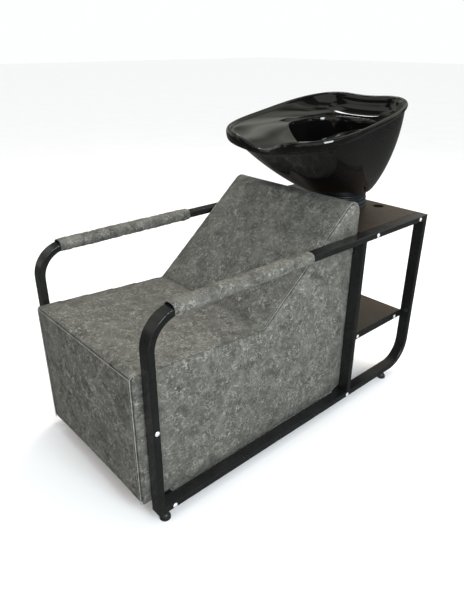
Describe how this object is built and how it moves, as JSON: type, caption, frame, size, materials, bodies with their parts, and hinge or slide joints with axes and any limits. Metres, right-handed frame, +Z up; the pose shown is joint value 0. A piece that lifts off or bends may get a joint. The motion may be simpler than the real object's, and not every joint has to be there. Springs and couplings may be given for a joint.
{
  "type": "shampoo backwash unit",
  "caption": "Reclining upholstered salon chair in tubular side frames, with a tilting ceramic basin and a shelf bay behind it",
  "frame": {"origin": "on the floor, under the centre of the whole unit's box", "axes": "+Z up; the sitter faces -Y and their left is +X; the basin is at the +Y end"},
  "size_m": [0.628, 1.233, 1.0284],
  "materials": {
    "frame_powder_coat": "satin black powder coat",
    "shelf_powder_coat": "satin dark powder coat on sheet steel",
    "plywood": "raw birch plywood",
    "grey_leather": "mottled grey synthetic leather, matt",
    "black_plastic": "moulded black plastic",
    "zinc_steel": "zinc-plated",
    "bracket_steel": "black powder coat",
    "black_rubber": "matt moulded rubber",
    "black_glaze": "gloss black glaze",
    "chrome": "polished chrome",
    "bright_screw": "bright nickel-plated"
  },
  "bodies": {
    "frame_and_seat": {"left_arm_tube": "frame_powder_coat", "right_arm_tube": "frame_powder_coat", "left_base_tube": "frame_powder_coat", "right_base_tube": "frame_powder_coat", "left_mid_post": "frame_powder_coat", "right_mid_post": "frame_powder_coat", "front_cross_tube": "frame_powder_coat", "rear_cross_tube": "frame_powder_coat", "cross_tube_inserts": "zinc_steel", "cross_tube_screws": "bright_screw", "body_screws": "bright_screw", "carcass_side_left": "plywood", "carcass_side_right": "plywood", "carcass_front": "plywood", "carcass_rear": "plywood", "carcass_seat_board": "plywood", "carcass_back_board": "plywood", "seat_cushion": "grey_leather", "back_cushion": "grey_leather", "front_pad": "grey_leather", "rear_pad": "grey_leather", "side_pad_left": "grey_leather", "side_pad_right": "grey_leather", "armrest_pad_left": "grey_leather", "armrest_pad_right": "grey_leather", "top_shelf": "shelf_powder_coat", "top_shelf_screws": "bright_screw", "top_shelf_nuts": "zinc_steel", "lower_shelf": "shelf_powder_coat", "shelf_bar_left": "frame_powder_coat", "shelf_bar_right": "frame_powder_coat", "lower_shelf_screws": "bright_screw", "lower_shelf_nuts": "zinc_steel", "foot_inserts": "zinc_steel", "pedestal_bracket": "bracket_steel", "pedestal_bolts": "bright_screw", "pedestal_nuts": "zinc_steel", "pivot_bolts": "bright_screw", "pivot_nuts": "zinc_steel", "pivot_washers": "black_rubber", "neck_bellows": "black_rubber"},
    "tilting_basin": {"tilt_bracket": "bracket_steel", "basin_pad": "black_rubber", "ceramic_basin": "black_glaze", "drain_washer": "black_rubber", "drain_body": "chrome", "drain_nut": "chrome", "drain_tail": "black_plastic", "tail_nut": "black_plastic"},
    "strainer": {"hair_strainer": "chrome"},
    "foot_front_left": {"foot_base_front_left": "black_plastic", "foot_stem_front_left": "zinc_steel"},
    "foot_front_right": {"foot_base_front_right": "black_plastic", "foot_stem_front_right": "zinc_steel"},
    "foot_rear_left": {"foot_base_rear_left": "black_plastic", "foot_stem_rear_left": "zinc_steel"},
    "foot_rear_right": {"foot_base_rear_right": "black_plastic", "foot_stem_rear_right": "zinc_steel"}
  },
  "joints": [
    {"name": "basin_tilt", "type": "hinge", "parent": "frame_and_seat", "child": "tilting_basin", "pos_m": [0, 0.4955, 0.676], "axis": [-1, 0, 0], "range_deg": [-2, 12], "deforming": ["neck_bellows"]},
    {"name": "strainer_lift", "type": "slide", "parent": "tilting_basin", "child": "strainer", "axis": [0, 0, 1], "range_m": [0, 0.06]},
    {"name": "foot_front_left_level", "type": "slide", "parent": "frame_and_seat", "child": "foot_front_left", "axis": [0, 0, -1], "range_m": [0, 0.008]},
    {"name": "foot_front_right_level", "type": "slide", "parent": "frame_and_seat", "child": "foot_front_right", "axis": [0, 0, -1], "range_m": [0, 0.008]},
    {"name": "foot_rear_left_level", "type": "slide", "parent": "frame_and_seat", "child": "foot_rear_left", "axis": [0, 0, -1], "range_m": [0, 0.008]},
    {"name": "foot_rear_right_level", "type": "slide", "parent": "frame_and_seat", "child": "foot_rear_right", "axis": [0, 0, -1], "range_m": [0, 0.008]}
  ]
}
